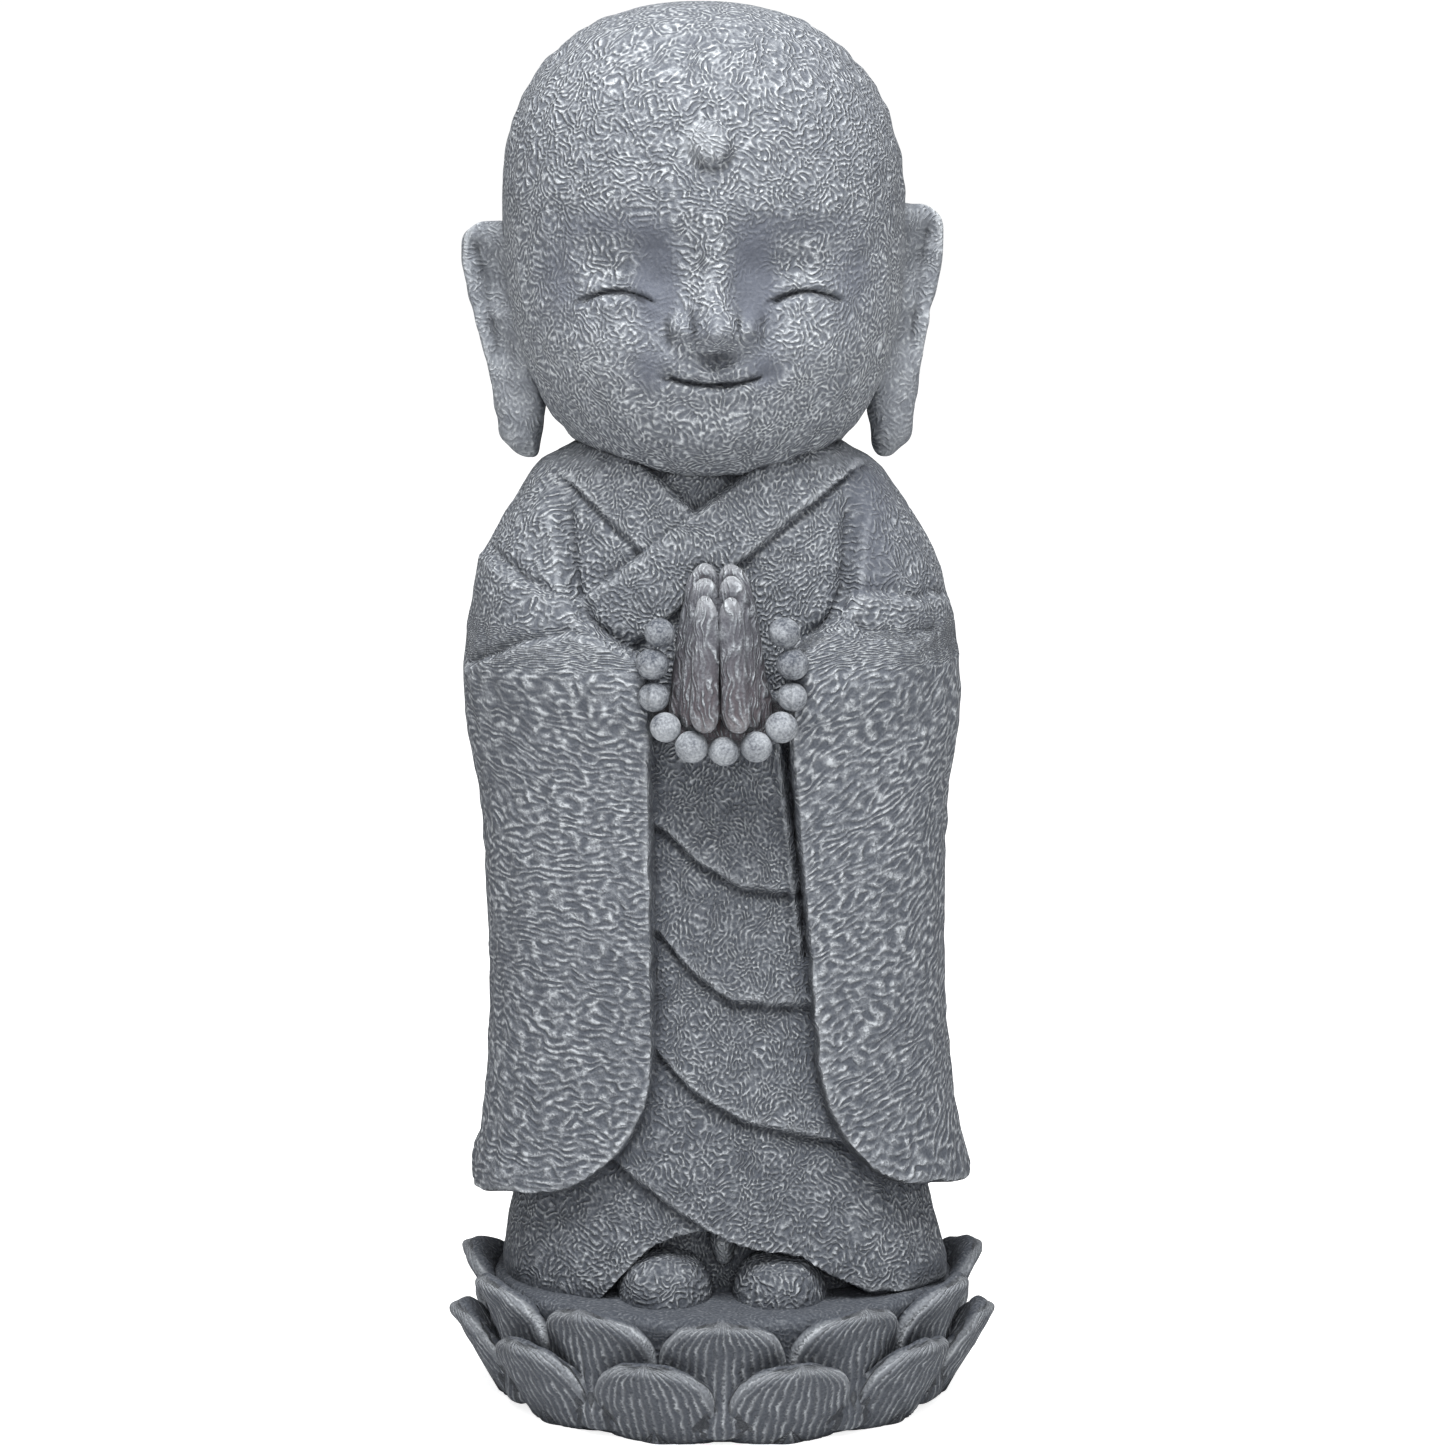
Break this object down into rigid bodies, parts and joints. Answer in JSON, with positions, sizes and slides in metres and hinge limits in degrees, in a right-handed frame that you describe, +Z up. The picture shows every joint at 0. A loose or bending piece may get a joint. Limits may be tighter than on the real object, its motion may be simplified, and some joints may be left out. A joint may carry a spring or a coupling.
{
  "type": "stone jizo statue",
  "caption": "Standing child-monk garden statue with pressed palms, prayer beads and long sleeves, cast in one with its round lotus base.",
  "frame": {"origin": "centre of the lotus base's flat underside", "axes": "+Z up through the crown, the figure faces -Y, its left hand side is +X"},
  "size_m": [0.199, 0.1949, 0.5],
  "materials": {
    "cast_stone": "blue-grey cast stone with fine carved squiggles whose ridges are brushed lighter, matt"
  },
  "bodies": {
    "root": {"jizo_statue": "cast_stone"}
  },
  "joints": []
}
